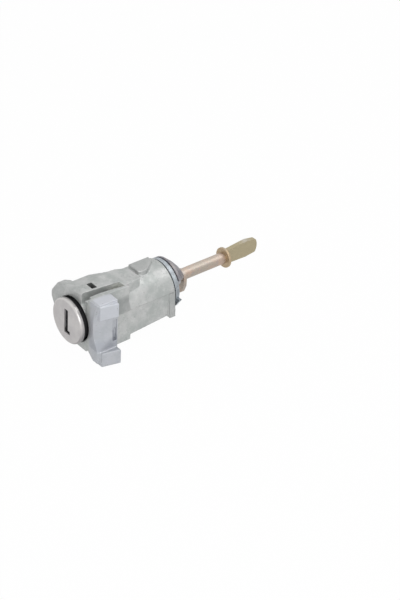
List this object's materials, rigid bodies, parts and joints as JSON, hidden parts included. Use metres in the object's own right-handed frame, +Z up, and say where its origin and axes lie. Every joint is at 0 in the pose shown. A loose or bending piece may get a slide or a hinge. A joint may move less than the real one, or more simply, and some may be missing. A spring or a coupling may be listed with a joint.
{
  "type": "car door lock cylinder",
  "caption": "Die-cast door lock cylinder with a sprung turning wafer plug, key slot, side wing and a long rear driving rod that ends in a flat blade.",
  "frame": {"origin": "on the plug's axis, in the plane of the housing's front face", "axes": "+Y along the plug's axis, from the key face to the rod's blade; +Z up, the side of the housing's roof and fin; +X to the side of the housing's wing"},
  "size_m": [0.0331, 0.0928, 0.027],
  "materials": {
    "zinc_casting": "as-cast satin",
    "cap_steel": "satin",
    "plug_zinc": "as-cast",
    "ring_steel": "zinc-plated",
    "cone_steel": "zinc-plated",
    "spring_steel": "bright",
    "wafer_brass": "stamped",
    "yellow_zinc": "yellow chromate"
  },
  "bodies": {
    "housing": {"housing": "zinc_casting", "rear_ring": "ring_steel", "end_cone": "cone_steel", "return_spring": "spring_steel"},
    "plug": {"plug": "plug_zinc", "face_cap": "cap_steel", "sleeve": "plug_zinc", "shutter_pin": "spring_steel", "shutter_spring": "spring_steel", "clutch_spring": "spring_steel", "wafer_spring_1": "spring_steel", "wafer_spring_2": "spring_steel", "wafer_spring_3": "spring_steel", "wafer_spring_4": "spring_steel", "wafer_spring_5": "spring_steel", "wafer_spring_6": "spring_steel", "wafer_spring_7": "spring_steel", "wafer_spring_8": "spring_steel"},
    "shutter": {"shutter": "spring_steel"},
    "clutch": {"clutch_disc": "spring_steel"},
    "driver": {"driver": "spring_steel", "retaining_clip": "spring_steel", "lever_plate": "yellow_zinc", "rod": "yellow_zinc", "cross_pin": "spring_steel"},
    "wafer_1": {"wafer_1": "wafer_brass"},
    "wafer_2": {"wafer_2": "wafer_brass"},
    "wafer_3": {"wafer_3": "wafer_brass"},
    "wafer_4": {"wafer_4": "wafer_brass"},
    "wafer_5": {"wafer_5": "wafer_brass"},
    "wafer_6": {"wafer_6": "wafer_brass"},
    "wafer_7": {"wafer_7": "wafer_brass"},
    "wafer_8": {"wafer_8": "wafer_brass"}
  },
  "joints": [
    {"name": "plug_turn", "type": "hinge", "parent": "housing", "child": "plug", "pos_m": [0, 0.01, 0], "axis": [0, 1, 0], "range_deg": [-75, 75], "stiffness_Nm_per_rad": 0.05},
    {"name": "driver_turn", "type": "hinge", "parent": "housing", "child": "driver", "pos_m": [0, 0.04, 0], "axis": [0, 1, 0], "range_deg": [-75, 75], "stiffness_Nm_per_rad": 0.1},
    {"name": "shutter_swing", "type": "hinge", "parent": "plug", "child": "shutter", "pos_m": [-0.0028, -0.00185, 0], "axis": [0, 0, 1], "range_deg": [0, 80], "stiffness_Nm_per_rad": 0.002, "springref_deg": -17.19, "deforming": ["shutter_spring"]},
    {"name": "clutch_slide", "type": "slide", "parent": "plug", "child": "clutch", "axis": [0, 1, 0], "range_m": [0, 0.0013], "stiffness_N_per_m": 2000, "springref_m": -0.001, "deforming": ["clutch_spring"]},
    {"name": "wafer_1_slide", "type": "slide", "parent": "plug", "child": "wafer_1", "axis": [0, 0, -1], "range_m": [0, 0.001], "stiffness_N_per_m": 400, "springref_m": -0.0015, "deforming": ["wafer_spring_1"]},
    {"name": "wafer_2_slide", "type": "slide", "parent": "plug", "child": "wafer_2", "axis": [0, 0, 1], "range_m": [0, 0.001], "stiffness_N_per_m": 400, "springref_m": -0.0015, "deforming": ["wafer_spring_2"]},
    {"name": "wafer_3_slide", "type": "slide", "parent": "plug", "child": "wafer_3", "axis": [0, 0, -1], "range_m": [0, 0.001], "stiffness_N_per_m": 400, "springref_m": -0.0015, "deforming": ["wafer_spring_3"]},
    {"name": "wafer_4_slide", "type": "slide", "parent": "plug", "child": "wafer_4", "axis": [0, 0, 1], "range_m": [0, 0.001], "stiffness_N_per_m": 400, "springref_m": -0.0015, "deforming": ["wafer_spring_4"]},
    {"name": "wafer_5_slide", "type": "slide", "parent": "plug", "child": "wafer_5", "axis": [0, 0, -1], "range_m": [0, 0.001], "stiffness_N_per_m": 400, "springref_m": -0.0015, "deforming": ["wafer_spring_5"]},
    {"name": "wafer_6_slide", "type": "slide", "parent": "plug", "child": "wafer_6", "axis": [0, 0, 1], "range_m": [0, 0.001], "stiffness_N_per_m": 400, "springref_m": -0.0015, "deforming": ["wafer_spring_6"]},
    {"name": "wafer_7_slide", "type": "slide", "parent": "plug", "child": "wafer_7", "axis": [0, 0, -1], "range_m": [0, 0.001], "stiffness_N_per_m": 400, "springref_m": -0.0015, "deforming": ["wafer_spring_7"]},
    {"name": "wafer_8_slide", "type": "slide", "parent": "plug", "child": "wafer_8", "axis": [0, 0, 1], "range_m": [0, 0.001], "stiffness_N_per_m": 400, "springref_m": -0.0015, "deforming": ["wafer_spring_8"]}
  ],
  "couplings": [
    {"joint": "driver_turn", "follows": "plug_turn", "ratio": 1}
  ]
}
